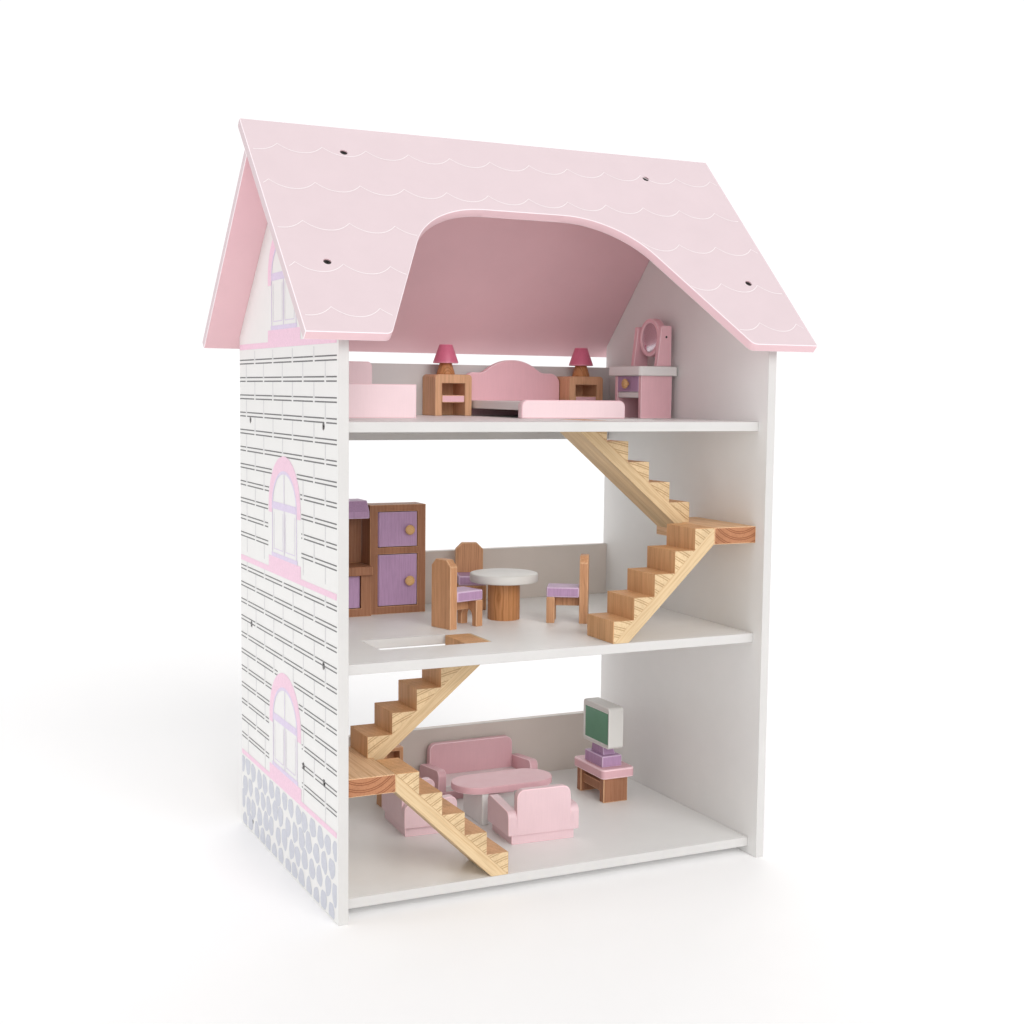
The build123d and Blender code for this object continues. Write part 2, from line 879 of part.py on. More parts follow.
counter_top_z = unit_top_z + counter_thickness
niche_side = piece(
    (unit_left_x, unit_front_y, counter_top_z),
    (unit_left_x + unit_side, kitchen_back_y, middle_z + hood_bottom),
)
niche_back = piece(
    (unit_left_x + unit_side, cupboard_back_y, counter_top_z),
    (unit_right_x, kitchen_back_y, middle_z + hood_bottom),
)
with BuildPart() as counter:
    block(
        (unit_left_x, counter_front_y, unit_top_z),
        (unit_right_x, kitchen_back_y, counter_top_z),
    )
    fillet(counter.edges().filter_by(Axis.X).group_by(Axis.Y)[0], radius=1.5)
    pin_hole(*side_pivot, unit_top_z, door_pin_depth + 0.1)
save(
    "kitchen_case",
    group(tall_case.part, unit_case.part, niche_side, niche_back, counter.part),
)

with BuildPart() as hood:
    hood_z = middle_z + hood_bottom
    hood_profile = (
        (unit_front_y, hood_z),
        (kitchen_back_y, hood_z),
        (kitchen_back_y, hood_z + hood_height),
        (unit_front_y + hood_slope_depth, hood_z + hood_height),
        (unit_front_y, hood_z + hood_lip),
    )
    outline(hood_profile, at_x(unit_left_x), unit_right_x - unit_left_x - 2)
save("kitchen_hood", hood.part)


def door(x_range, z_range, front_y, pivot, knob_x, knob_z):
    """A door with a round hinge edge, its two pivot pins and its knob."""
    low_z = z_range[0] + door_gap
    high_z = z_range[1] - door_gap
    face_y = front_y + door_recess
    with BuildPart() as panel:
        block(
            (x_range[0] + door_gap, face_y, low_z),
            (x_range[1] - door_gap, face_y + door_thickness, high_z),
        )
        near_hinge = panel.edges().filter_by(Axis.Z)
        hinge_edges = near_hinge.filter_by(
            lambda e: abs(e.center().X - pivot[0]) < door_thickness
        )
        fillet(hinge_edges, radius=door_thickness / 2 - 0.05)
        for start_z, reach in ((low_z, -1), (high_z, 1)):
            with BuildSketch(at_z(start_z)):
                with Locations(pivot):
                    Circle(door_pin_r)
            extrude(amount=-reach * door_pin_depth, mode=Mode.SUBTRACT)
    pins = []
    for start_z, reach in ((low_z, -1), (high_z, 1)):
        with BuildPart() as pin:
            with BuildSketch(at_z(start_z - reach * door_pin_depth)):
                with Locations(pivot):
                    Circle(door_pin_r)
            extrude(amount=reach * (2 * door_pin_depth + door_gap - 0.3))
        pins.append(pin.part)
    handle = knob((knob_x, face_y, knob_z), (0, -1, 0), knob_r)
    return group(panel.part, *pins, handle)


def storey(z_range):
    return (middle_z + z_range[0], middle_z + z_range[1])


tall_doors = {"upper_door": (upper_door_z, 88.0), "lower_door": (lower_door_z, 34.4)}
for door_name, (heights, knob_height) in tall_doors.items():
    save(
        door_name,
        door(
            (door_left_x, door_right_x),
            storey(heights),
            tall_front_y,
            tall_pivot,
            door_right_x - 9.9,
            middle_z + knob_height,
        ),
    )
save(
    "side_door",
    door(
        side_door_x,
        (middle_z + side_door_bottom, unit_top_z),
        unit_front_y,
        side_pivot,
        side_door_x[0] + 8.5,
        middle_z + 25.6,
    ),
)

# ---------------------------------------------------------------- round table
with BuildPart() as round_table_top:
    with BuildSketch(at_z(middle_z + table_height - table_top_thickness)):
        with Locations((table_x, table_y)):
            Circle(table_r)
    extrude(amount=table_top_thickness)
    fillet(round_table_top.edges(), radius=1.5)
save("round_table_top", round_table_top.part)

with BuildPart() as round_table_base:
    with BuildSketch(at_z(middle_z)):
        with Locations((table_x, table_y)):
            Circle(table_base_r)
    extrude(amount=table_height - table_top_thickness)
save("round_table_base", round_table_base.part)


# ---------------------------------------------------------------- chairs
def local_plane(x, y, z, angle):
    """A level plane at a floor point, with its X axis turned by angle degrees."""
    turn = radians(angle)
    return Plane(origin=(x, y, z), x_dir=(cos(turn), sin(turn), 0), z_dir=(0, 0, 1))


def local_block(plane, xs, ys, zs):
    """A board given by its ranges on a turned plane."""
    with BuildSketch(plane.offset(zs[0])) as base:
        with Locations(((xs[0] + xs[1]) / 2, (ys[0] + ys[1]) / 2)):
            Rectangle(xs[1] - xs[0], ys[1] - ys[0])
    extrude(base.sketch, amount=zs[1] - zs[0])


def local_front(plane, x):
    """An upright plane across a turned plane at x, extruded backwards."""
    origin = plane.from_local_coords((x, 0, 0))
    return Plane(origin=origin, x_dir=-plane.y_dir, z_dir=-plane.x_dir)


def chair(x, y, angle):
    """Back board, front leg board with an arch, rail between them, and the seat."""
    plane = local_plane(x, y, middle_z, angle)
    half = chair_width / 2
    with BuildPart() as back:
        with BuildSketch(local_front(plane, chair_board)):
            with Locations((0, chair_height / 2)):
                Rectangle(chair_width, chair_height)
            chamfer(vertices().group_by(Axis.Y)[-1], length=chair_chamfer)
        extrude(amount=chair_board)
    with BuildPart() as legs:
        with BuildSketch(local_front(plane, chair_depth)):
            with Locations((0, chair_seat_z / 2)):
                Rectangle(chair_width, chair_seat_z)
            arch_side = chair_arch_height - chair_arch_r
            with Locations((0, arch_side / 2)):
                Rectangle(2 * chair_arch_r, arch_side, mode=Mode.SUBTRACT)
            with Locations((0, arch_side)):
                Circle(chair_arch_r, mode=Mode.SUBTRACT)
        extrude(amount=chair_board - 0.4)
    rail_half = chair_rail_thickness / 2
    leg_inner = chair_depth - chair_board + 0.4
    with BuildPart() as rail:
        rail_zs = (chair_seat_z - chair_rail_height, chair_seat_z)
        local_block(plane, (chair_board, leg_inner), (-rail_half, rail_half), rail_zs)
    with BuildPart() as seat:
        seat_zs = (chair_seat_z, chair_seat_z + chair_seat_thickness)
        local_block(plane, (chair_board, chair_depth), (-half, half), seat_zs)
    return group(back.part, legs.part, rail.part), seat.part


chairs = {
    "left_chair": (-62.6, -3.2, 16.3),
    "back_chair": (25.8, 128.6, -107.8),
    "right_chair": (92.6, -22.6, 149.3),
}
for chair_name, chair_place in chairs.items():
    chair_frame, chair_seat = chair(*chair_place)
    save(f"{chair_name}_frame", chair_frame)
    save(f"{chair_name}_seat", chair_seat)


# ---------------------------------------------------------------- sofa and armchairs
def seating(x, y, angle, width, back_top, arm_front, arm_back, cushion_top):
    """A plinth, two arms, and a back between them around a seat block.
    x, y is the middle of the back's rear edge."""
    plane = local_plane(x, y, ground_z, angle)
    half = width / 2
    arm_inner = half - arm_thickness
    plinth_half = half - plinth_inset
    with BuildPart() as plinth:
        plinth_xs = (plinth_end_inset, seat_depth - plinth_end_inset)
        local_block(plane, plinth_xs, (-plinth_half, plinth_half), (0, plinth_height))
    with BuildPart() as back:
        with BuildSketch(local_front(plane, seat_back_thickness)):
            with Locations((0, (plinth_height + back_top) / 2)):
                Rectangle(2 * arm_inner, back_top - plinth_height)
            fillet(vertices().group_by(Axis.Y)[-1], radius=seat_back_corner)
        extrude(amount=seat_back_thickness)
    arms = []
    for start in (-half, arm_inner):
        origin = plane.from_local_coords((0, start, 0))
        arm_plane = Plane(origin=origin, x_dir=-plane.x_dir, z_dir=plane.y_dir)
        profile = (
            (0, plinth_height),
            (-seat_depth, plinth_height),
            (-seat_depth, arm_front),
            (0, arm_back),
        )
        with BuildPart() as arm:
            with BuildSketch(arm_plane):
                with BuildLine():
                    Polyline(*profile, close=True)
                make_face()
                upper = vertices().filter_by(lambda v: v.Y > plinth_height + 1)
                fillet(upper, radius=arm_round)
            extrude(amount=arm_thickness)
        arms.append(arm.part)
    with BuildPart() as cushion:
        cushion_xs = (seat_back_thickness, seat_depth - plinth_end_inset)
        cushion_zs = (plinth_height, cushion_top)
        local_block(plane, cushion_xs, (-arm_inner, arm_inner), cushion_zs)
    return group(plinth.part, back.part, *arms), cushion.part


# place, direction and width, then the heights of the back, the arms' two ends and the seat
seats = {
    "sofa": (34.3, 143.0, -90.0, 119.0, 50.5, 33.5, 28.5, 15.5),
    "left_armchair": (-101.0, 26.0, -3.0, 75.5, 54.0, 38.0, 33.0, 22.0),
    "right_armchair": (18.2, -75.0, 87.0, 75.5, 54.0, 38.0, 33.0, 22.0),
}
for seat_name, seat_place in seats.items():
    seat_body, seat_cushion = seating(*seat_place)
    save(f"{seat_name}_body", seat_body)
    save(f"{seat_name}_seat", seat_cushion)

# ---------------------------------------------------------------- coffee table
with BuildPart() as coffee_top:
    with BuildSketch(at_z(ground_z + coffee_height - coffee_top_thickness)):
        with Locations((coffee_x, coffee_y)):
            SlotOverall(coffee_length, coffee_width)
    extrude(amount=coffee_top_thickness)
    fillet(coffee_top.edges().group_by(Axis.Z)[-1], radius=1)
save("coffee_table_top", coffee_top.part)
coffee_legs = [
    piece(
        (x - coffee_leg_thickness / 2, coffee_y - coffee_leg_width / 2, ground_z),
        (
            x + coffee_leg_thickness / 2,
            coffee_y + coffee_leg_width / 2,
            ground_z + coffee_height - coffee_top_thickness,
        ),
    )
    for x in (coffee_x - coffee_leg_x, coffee_x + coffee_leg_x)
]
save("coffee_table_legs", group(*coffee_legs))

# ---------------------------------------------------------------- television and its table
tv_table_far_y = tv_table_front_y + tv_table_length
tv_table_top_z = ground_z + tv_table_height
tv_leg_top_z = tv_table_top_z - tv_table_top_thickness
with BuildPart() as tv_table_top:
    block(
        (tv_table_x, tv_table_front_y, tv_leg_top_z),
        (tv_table_x + tv_table_width, tv_table_far_y, tv_table_top_z),
    )
    fillet(tv_table_top.edges().filter_by(Axis.Z), radius=5)
save("tv_table_top", tv_table_top.part)

tv_leg_x = tv_table_x + tv_leg_inset
tv_leg_ys = (
    tv_table_front_y + tv_leg_inset,
    tv_table_far_y - tv_leg_inset - tv_leg_thickness,
)
tv_legs = [
    piece((tv_leg_x, y, ground_z), (tv_leg_x + tv_leg_width, y + tv_leg_thickness, tv_leg_top_z))
    for y in tv_leg_ys
]
tv_shelf_z = ground_z + tv_shelf_bottom
tv_shelf = piece(
    (tv_leg_x + 3, tv_leg_ys[0] + tv_leg_thickness, tv_shelf_z),
    (tv_leg_x + 3 + tv_shelf_thickness, tv_leg_ys[1], tv_shelf_z + tv_shelf_height),
)
save("tv_table_legs", group(*tv_legs, tv_shelf))

tv_case_mid_z = tv_case_z + tv_case_height / 2
with BuildPart() as tv_case:
    with BuildSketch(at_x(tv_case_x)):
        with Locations((tv_y, tv_case_mid_z)):
            RectangleRounded(tv_case_width, tv_case_height, 4)
    extrude(amount=tv_case_depth)
    with BuildSketch(at_x(tv_case_x)):
        with Locations((tv_screen_y, tv_screen_z + tv_screen_height / 2)):
            Rectangle(tv_screen_width, tv_screen_height)
    extrude(amount=tv_screen_recess, mode=Mode.SUBTRACT)
save("tv_case", tv_case.part)

tv_screen = piece(
    (
        tv_case_x + tv_screen_recess - tv_screen_thickness,
        tv_screen_y - tv_screen_width / 2,
        tv_screen_z,
    ),
    (
        tv_case_x + tv_screen_recess,
        tv_screen_y + tv_screen_width / 2,
        tv_screen_z + tv_screen_height,
    ),
)
save("tv_screen", tv_screen)

tv_mid_x = tv_case_x + tv_case_depth / 2 + 2
with BuildPart() as tv_foot:
    with BuildSketch(at_z(tv_table_top_z)):
        with Locations((tv_mid_x, tv_foot_y)):
            Rectangle(tv_foot_depth, tv_foot_width)
    extrude(amount=tv_foot_height)
with BuildPart() as tv_neck:
    with BuildSketch(at_z(tv_table_top_z + tv_foot_height)):
        with Locations((tv_mid_x, tv_foot_y)):
            Rectangle(15, 27)
    with BuildSketch(at_z(tv_case_z)):
        with Locations((tv_mid_x - 1, tv_foot_y)):
            Rectangle(12, 24)
    loft()
save("tv_stand", group(tv_foot.part, tv_neck.part))

# ---------------------------------------------------------------- small shelf
with BuildPart() as small_shelf:
    block(
        (shelf_x, shelf_front_y, ground_z),
        (shelf_x + shelf_width, shelf_front_y + shelf_depth, ground_z + shelf_height),
    )
    tier = (shelf_height - 3 * shelf_wall) / 2
    for tier_z in (ground_z + shelf_wall, ground_z + 2 * shelf_wall + tier):
        opening(
            (shelf_x + shelf_wall, shelf_front_y - 1, tier_z),
            (
                shelf_x + shelf_width - shelf_wall,
                shelf_front_y + shelf_depth - shelf_wall,
                tier_z + tier,
            ),
        )
save("small_shelf", small_shelf.part)
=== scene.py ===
import math
import random

import bmesh
import bpy
from mathutils import Matrix, Vector


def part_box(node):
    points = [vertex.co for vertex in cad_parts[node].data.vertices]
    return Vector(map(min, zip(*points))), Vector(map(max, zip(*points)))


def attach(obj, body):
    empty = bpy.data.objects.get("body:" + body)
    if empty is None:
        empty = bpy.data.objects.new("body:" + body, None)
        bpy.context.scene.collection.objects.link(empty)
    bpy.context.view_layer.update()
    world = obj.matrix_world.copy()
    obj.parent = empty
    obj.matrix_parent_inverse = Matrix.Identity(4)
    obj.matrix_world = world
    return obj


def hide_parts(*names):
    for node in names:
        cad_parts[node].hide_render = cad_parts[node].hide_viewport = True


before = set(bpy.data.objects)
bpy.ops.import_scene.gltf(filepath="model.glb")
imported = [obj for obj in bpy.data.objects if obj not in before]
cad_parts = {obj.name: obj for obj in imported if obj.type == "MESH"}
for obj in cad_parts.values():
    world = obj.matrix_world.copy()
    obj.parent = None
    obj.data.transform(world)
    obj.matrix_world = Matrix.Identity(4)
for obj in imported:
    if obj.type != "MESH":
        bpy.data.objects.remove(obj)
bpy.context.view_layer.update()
MM = 0.001
WIDE_AREA = 150e-6  # a face above this area, in square metres, may be a broad plane
WIDE_DEPTH = 0.5 * MM  # and its area over its outline is above this
FACET_AREA = 2e-6  # faces below this are facets of small holes
EDGE_ANGLE = math.radians(38)  # edges sharper than this are rounded
MERGE_GAP = 2e-6
FLAT_ANGLE = math.radians(0.6)


# ---------------------------------------------------------------- colours and materials
def linear(code):
    """A '#RRGGBB' colour as linear RGBA."""
    values = [int(code[i : i + 2], 16) / 255 for i in (1, 3, 5)]
    return [
        (v / 12.92 if v <= 0.04045 else ((v + 0.055) / 1.055) ** 2.4) for v in values
    ] + [1.0]


def start(name):
    """A new node material: its tree, its Principled shader and its object coordinates."""
    material = bpy.data.materials.new(name)
    material.use_nodes = True
    tree = material.node_tree
    shader = tree.nodes["Principled BSDF"]
    coords = tree.nodes.new("ShaderNodeTexCoord")
    return material, tree, shader, coords.outputs["Object"]


def noise(tree, vector, scale, detail=3.0, rough=0.5):
    node = tree.nodes.new("ShaderNodeTexNoise")
    node.inputs["Scale"].default_value = scale
    node.inputs["Detail"].default_value = detail
    node.inputs["Roughness"].default_value = rough
    tree.links.new(vector, node.inputs["Vector"])
    return node.outputs["Fac"]


def ramp(tree, factor, stops):
    node = tree.nodes.new("ShaderNodeValToRGB")
    ends = node.color_ramp.elements
    ends[0].position, ends[0].color = stops[0]
    ends[1].position, ends[1].color = stops[-1]
    for position, colour in stops[1:-1]:
        ends.new(position).color = colour
    tree.links.new(factor, node.inputs["Fac"])
    return node.outputs["Color"]


def mapped(tree, vector, location=(0, 0, 0), rotation=(0, 0, 0), scale=(1, 1, 1)):
    node = tree.nodes.new("ShaderNodeMapping")
    node.inputs["Location"].default_value = location
    node.inputs["Rotation"].default_value = rotation
    node.inputs["Scale"].default_value = scale
    tree.links.new(vector, node.inputs["Vector"])
    return node.outputs["Vector"]


def mixed(tree, factor, first, second, mode="MIX"):
    node = tree.nodes.new("ShaderNodeMix")
    node.data_type = "RGBA"
    node.blend_type = mode
    if isinstance(factor, float):
        node.inputs["Factor"].default_value = factor
    else:
        tree.links.new(factor, node.inputs["Factor"])
    for socket, value in ((node.inputs["A"], first), (node.inputs["B"], second)):
        if isinstance(value, list):
            socket.default_value = value
        else:
            tree.links.new(value, socket)
    return node.outputs["Result"]


def bump(tree, shader, height, strength, distance):
    node = tree.nodes.new("ShaderNodeBump")
    node.inputs["Strength"].default_value = strength
    node.inputs["Distance"].default_value = distance
    tree.links.new(height, node.inputs["Height"])
    tree.links.new(node.outputs["Normal"], shader.inputs["Normal"])


def scaled(colour, amount):
    return [min(1.0, c * amount) for c in colour[:3]] + [1.0]


def paint(name, code, rough=0.42, spread=0.05, streak=0.0):
    """Satin paint on board: slow colour drift, a fine orange-peel, faint grain below it."""
    material, tree, shader, coords = start(name)
    base = linear(code)
    drift = noise(tree, coords, 28.0, 4.0, 0.6)
    colour = ramp(
        tree,
        drift,
        [(0.25, scaled(base, 1 - spread)), (0.75, scaled(base, 1 + spread))],
    )
    if streak:
        grain = noise(tree, mapped(tree, coords, scale=(900, 900, 45)), 1.0, 3.0, 0.7)
        lines = ramp(
            tree, grain, [(0.35, [1 - streak] * 3 + [1.0]), (0.6, [1.0, 1.0, 1.0, 1.0])]
        )
        colour = mixed(tree, 1.0, colour, lines, "MULTIPLY")
    tree.links.new(colour, shader.inputs["Base Color"])
    gloss = ramp(
        tree,
        noise(tree, coords, 90.0, 2.0),
        [(0.3, [rough - 0.05] * 3 + [1.0]), (0.7, [rough + 0.07] * 3 + [1.0])],
    )
    tree.links.new(gloss, shader.inputs["Roughness"])
    shader.inputs["Specular IOR Level"].default_value = 0.4
    bump(tree, shader, noise(tree, coords, 1400.0, 2.0), 0.12, 0.00012)
    return material


def wood(
    name,
    light,
    dark,
    axis="Z",
    pith=(0, 0, 0),
    ring=3.0,
    contrast=0.5,
    warp=2.5,
    turn=0.0,
    rough=0.5,
):
    """Bare wood: growth rings round an axis beside the piece, pores along the grain."""
    material, tree, shader, coords = start(name)
    place = mapped(tree, coords, location=[-p * MM for p in pith])
    place = mapped(tree, place, rotation=(0, turn, 0))
    rings = tree.nodes.new("ShaderNodeTexWave")
    rings.wave_type = "RINGS"
    rings.rings_direction = axis
    rings.wave_profile = "SIN"
    rings.inputs["Scale"].default_value = 0.314 / (ring * MM)
    rings.inputs["Distortion"].default_value = warp
    rings.inputs["Detail"].default_value = 2.5
    rings.inputs["Detail Scale"].default_value = 0.35
    tree.links.new(place, rings.inputs["Vector"])
    long_way = {"X": (30, 700, 700), "Y": (700, 30, 700), "Z": (700, 700, 30)}[axis]
    wide_way = {"X": (6, 60, 60), "Y": (60, 6, 60), "Z": (60, 60, 6)}[axis]
    pores = noise(tree, mapped(tree, place, scale=long_way), 1.0, 4.0, 0.65)
    clouds = noise(tree, mapped(tree, place, scale=wide_way), 1.0, 3.0, 0.5)
    light_c, dark_c = linear(light), linear(dark)
    bands = ramp(
        tree,
        rings.outputs["Fac"],
        [(0.0, light_c), (0.55, light_c), (0.86, dark_c), (1.0, light_c)],
    )
    colour = mixed(tree, contrast, light_c, bands)
    soft = ramp(
        tree, clouds, [(0.3, [0.86, 0.84, 0.82, 1.0]), (0.7, [1.06, 1.05, 1.04, 1.0])]
    )
    colour = mixed(tree, 1.0, colour, soft, "MULTIPLY")
    flecks = ramp(
        tree, pores, [(0.36, [0.80, 0.75, 0.70, 1.0]), (0.52, [1.0, 1.0, 1.0, 1.0])]
    )
    colour = mixed(tree, 0.7, colour, flecks, "MULTIPLY")
    tree.links.new(colour, shader.inputs["Base Color"])
    gloss = ramp(
        tree, pores, [(0.3, [rough + 0.1] * 3 + [1.0]), (0.7, [rough - 0.05] * 3 + [1.0])]
    )
    tree.links.new(gloss, shader.inputs["Roughness"])
    shader.inputs["Specular IOR Level"].default_value = 0.35
    bump(tree, shader, pores, 0.25, 0.0002)
    return material


def metal(name, code, rough):
    material, tree, shader, coords = start(name)
    base = linear(code)
    scratch = noise(tree, mapped(tree, coords, scale=(1, 1, 9)), 700.0, 3.0)
    colour = ramp(tree, scratch, [(0.3, scaled(base, 0.8)), (0.7, scaled(base, 1.25))])
    tree.links.new(colour, shader.inputs["Base Color"])
    gloss = ramp(
        tree, scratch, [(0.3, [rough] * 3 + [1.0]), (0.7, [rough + 0.15] * 3 + [1.0])]
    )
    tree.links.new(gloss, shader.inputs["Roughness"])
    shader.inputs["Metallic"].default_value = 1.0
    return material


def ink(name, code, spread=0.06):
    """Print on the painted board: dot grain from the screen, same satin."""
    material, tree, shader, coords = start(name)
    base = linear(code)
    colour = ramp(
        tree,
        noise(tree, coords, 420.0, 3.0, 0.7),
        [(0.3, scaled(base, 1 - spread)), (0.7, scaled(base, 1 + spread))],
    )
    tree.links.new(colour, shader.inputs["Base Color"])
    shader.inputs["Roughness"].default_value = 0.45
    shader.inputs["Specular IOR Level"].default_value = 0.35
    return material


WHITE = paint("white_paint", "#EBEAE8", spread=0.015)
WHITE_EDGE = paint("white_edge", "#E4E2DF", rough=0.5, spread=0.03)
# A greyer white for the shell's faces that look to the open front and for its rounded
# edges.
FRONT_AND_EDGE_GREY = paint("front_and_edge_grey_paint", "#D2D0CE", rough=0.5, spread=0.03)
ROOF = paint("roof_paint", "#DDCACE", rough=0.4, spread=0.02)
# A more saturated copy of the roof pink for the panels' inner faces: painted shade, the
# pink cast of light bounced under the roof.
ROOF_UNDER_PAINTED_SHADE = paint("roof_under_painted_shade", "#EAC1C7", rough=0.45, spread=0.02)
ROOF_RIM = paint("roof_rim_paint", "#EBC8CE", rough=0.45, spread=0.02)
ROOF_EDGE = paint("roof_edge_paint", "#F9ECF0", rough=0.5, spread=0.03)
PINK = paint("pink_paint", "#EFBFC7", spread=0.03, streak=0.03)
# A darker copy of the pink for the sofa, the coffee table top and the TV table top: painted
# shade of the living room.
PINK_PAINTED_SHADE = paint("pink_painted_shade", "#DEB1B8", spread=0.03, streak=0.03)
PINK_CHAIR = paint("pink_chair_paint", "#E2C4C9", spread=0.03, streak=0.03)
# A greyer copy of the white for the round table top and the TV case: painted shade of the
# lower rooms.
WHITE_PAINTED_SHADE = paint("white_painted_shade", "#D6D4D0", spread=0.02)
# A beige, darker copy of the white paint for the two lower back rails: painted shade of the
# lower rooms.
RAIL_PAINTED_SHADE = paint("rail_painted_shade", "#D2C8C0", spread=0.02)
PINK_EDGE = paint("pink_edge_paint", "#F6D2D8", spread=0.04)
PALE = paint("pale_pink_paint", "#F9E0E4", spread=0.02, streak=0.02)
SHADE = paint("shade_paint", "#D9738F", rough=0.38, spread=0.04, streak=0.05)
SHADE_EDGE = paint("shade_edge_paint", "#E79AAE", rough=0.4, spread=0.05)
LILAC = paint("lilac_paint", "#B995B9", spread=0.05, streak=0.16)
LILAC_EDGE = paint("lilac_edge_paint", "#D6BCD6", spread=0.06, streak=0.08)
SEAT = paint("seat_paint", "#EBDFDF", spread=0.03)
SCREEN = paint("screen_paint", "#5E9377", rough=0.35, spread=0.04)
SCREW = metal("screw_metal", "#4A4645", 0.35)
# A near-black metal for the flat cross on each screw head: painted shade of the cross
# recess.
SCREW_RECESS_SHADE = metal("screw_cross_painted_shade", "#1C1A1A", 0.5)

BEECH = wood("beech", "#CE9B74", "#A8734B", "Z", (160, 260, 0), 3.4, 0.45)
# A darker copy of the beech for the kitchen case and the TV table legs: painted shade of
# the lower rooms.
BEECH_PAINTED_SHADE = wood("beech_painted_shade", "#A57457", "#84563C", "Z", (160, 260, 0), 3.4, 0.45)
# A lighter copy of the beech for the attic nightstands: painted light of the bright attic.
BEECH_PAINTED_LIGHT = wood("beech_painted_light", "#E2B28B", "#BC8A60", "Z", (160, 260, 0), 3.4, 0.45)
BEECH_EDGE = wood("beech_edge", "#DDB08A", "#BD8A62", "Z", (160, 260, 0), 3.4, 0.4)
BEECH_TURNED = wood("beech_turned", "#C98F5F", "#9C6435", "Z", (-20, -18, 0), 4.2, 0.7)
KNOB = wood("knob_wood", "#DDB27C", "#B98A55", "Y", (-40, 0, 280), 1.7, 0.5)


# ---------------------------------------------------------------- geometry helpers
def add_object(name, mesh, materials, body, replaces=()):
    piece = bpy.data.objects.new(name, mesh)
    bpy.context.scene.collection.objects.link(piece)
    for material in materials:
        mesh.materials.append(material)
    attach(piece, body)
    if replaces:
        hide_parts(*replaces)
    return piece


def is_wide(mesh, polygon):
    """Whether a face is a broad plane, not a facet of a curve or a rounded edge."""
    corners = [mesh.vertices[i].co for i in polygon.vertices]
    around = sum((a - b).length for a, b in zip(corners, corners[1:] + corners[:1]))
    return polygon.area > WIDE_AREA and polygon.area / around > WIDE_DEPTH


def smooth(mesh, degrees=34):
    """Smooth shading on the small faces of curves and edges. Wide faces stay flat."""
    mesh.set_sharp_from_angle(angle=math.radians(degrees))
    for polygon in mesh.polygons:
        polygon.use_smooth = not is_wide(mesh, polygon)


def islands(bm):
    """The separate solids of a mesh, each as a list of faces."""
    left = set(bm.faces)
    while left:
        stack = [left.pop()]
        found = []
        while stack:
            face = stack.pop()
            found.append(face)
            for edge in face.edges:
                for other in edge.link_faces:
                    if other in left:
                        left.remove(other)
                        stack.append(other)
        yield found


def extent(faces):
    points = [v.co for f in faces for v in f.verts]
    low = [min(p[i] for p in points) / MM for i in range(3)]
    high = [max(p[i] for p in points) / MM for i in range(3)]
    centre = [(a + b) / 2 for a, b in zip(low, high)]
    size = [b - a for a, b in zip(low, high)]
    return centre, size


def is_outer_edge(line):
    """Whether an edge is convex and sharp, and not the rim of a small pin hole or
    at a corner that two glued boards share."""
    if len(line.link_faces) != 2 or not line.is_convex:
        return False
    if not all(corner.is_manifold for corner in line.verts):
        return False
    if min(face.calc_area() for face in line.link_faces) < FACET_AREA:
        return False
    return line.calc_face_angle() > EDGE_ANGLE


def soften(node, body, looks, edge, width=0.7, pick=None, facing=None, drop=None):
    """The node's own shape with rounded outer edges, and a look for each face.
    looks are the materials and edge is that of the rounded edges. pick chooses a look
    for a solid from its centre and size. facing adds to it from a face's normal. drop
    leaves out the solids that another piece is made for."""
    mesh = bpy.data.meshes.new(node + "_look")
    bm = bmesh.new()
    bm.from_mesh(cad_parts[node].data)
    bmesh.ops.remove_doubles(bm, verts=bm.verts, dist=MERGE_GAP)
    if drop:
        gone = [f for faces in list(islands(bm)) if drop(*extent(faces)) for f in faces]
        bmesh.ops.delete(bm, geom=gone, context="FACES")
    bmesh.ops.dissolve_limit(
        bm, angle_limit=FLAT_ANGLE, verts=bm.verts, edges=bm.edges
    )
    for faces in list(islands(bm)):
        index = pick(*extent(faces)) if pick else 0
        for face in faces:
            face.material_index = index + (facing(face.normal) if facing else 0)
    weight = bm.edges.layers.float.new("bevel_weight_edge")
    for line in bm.edges:
        line[weight] = 1.0 if is_outer_edge(line) else 0.0
    bm.to_mesh(mesh)
    bm.free()
    piece = add_object(node + "_look", mesh, [*looks, edge], body, [node])
    bevel = piece.modifiers.new("edges", "BEVEL")
    bevel.width = width * MM
    bevel.segments = 3
    bevel.limit_method = "WEIGHT"
    bevel.use_clamp_overlap = False
    bevel.loop_slide = False
    bevel.material = len(looks)
    bpy.context.view_layer.update()
    rounded = bpy.data.meshes.new_from_object(
        piece.evaluated_get(bpy.context.evaluated_depsgraph_get())
    )
    piece.modifiers.clear()
    piece.data = rounded
    smooth(rounded)
    return piece


def revolve(name, body, profile, centre, axis, materials, replaces=(), band=None):
    """A turned piece: (radius, height) steps in millimetres round an axis."""
    bm = bmesh.new()
    turn = Vector((0, 0, 1)).rotation_difference(Vector(axis)).to_matrix()
    count = 64
    rings = []
    for radius, height in profile:
        ring = []
        for i in range(count if radius > 0 else 1):
            angle = 2 * math.pi * i / count
            spot = Vector((radius * math.cos(angle), radius * math.sin(angle), height))
            ring.append(bm.verts.new((Vector(centre) + turn @ spot) * MM))
        rings.append(ring)
    for step, (low, high) in enumerate(zip(rings, rings[1:])):
        for i in range(count):
            j = (i + 1) % count
            corners = [low[i % len(low)], low[j % len(low)]]
            corners += [high[j % len(high)], high[i % len(high)]]
            unique = []
            for corner in corners:
                if corner not in unique:
                    unique.append(corner)
            if len(unique) > 2:
                face = bm.faces.new(unique)
                face.material_index = band[step] if band else 0
    bmesh.ops.recalc_face_normals(bm, faces=bm.faces)
    mesh = bpy.data.meshes.new(name)
    bm.to_mesh(mesh)
    bm.free()
    piece = add_object(name, mesh, materials, body, replaces)
    smooth(mesh, 50)
    return piece


def decal(name, body, faces, place, material):
    """Flat print: polygons of 2-D millimetre points laid on a surface by place()."""
    mesh = bpy.data.meshes.new(name)
    verts = []
    polygons = []
    for face in faces:
        polygons.append(tuple(range(len(verts), len(verts) + len(face))))
        verts += [Vector(place(*point)) * MM for point in face]
    mesh.from_pydata(verts, [], polygons)
    return add_object(name, mesh, [material], body)


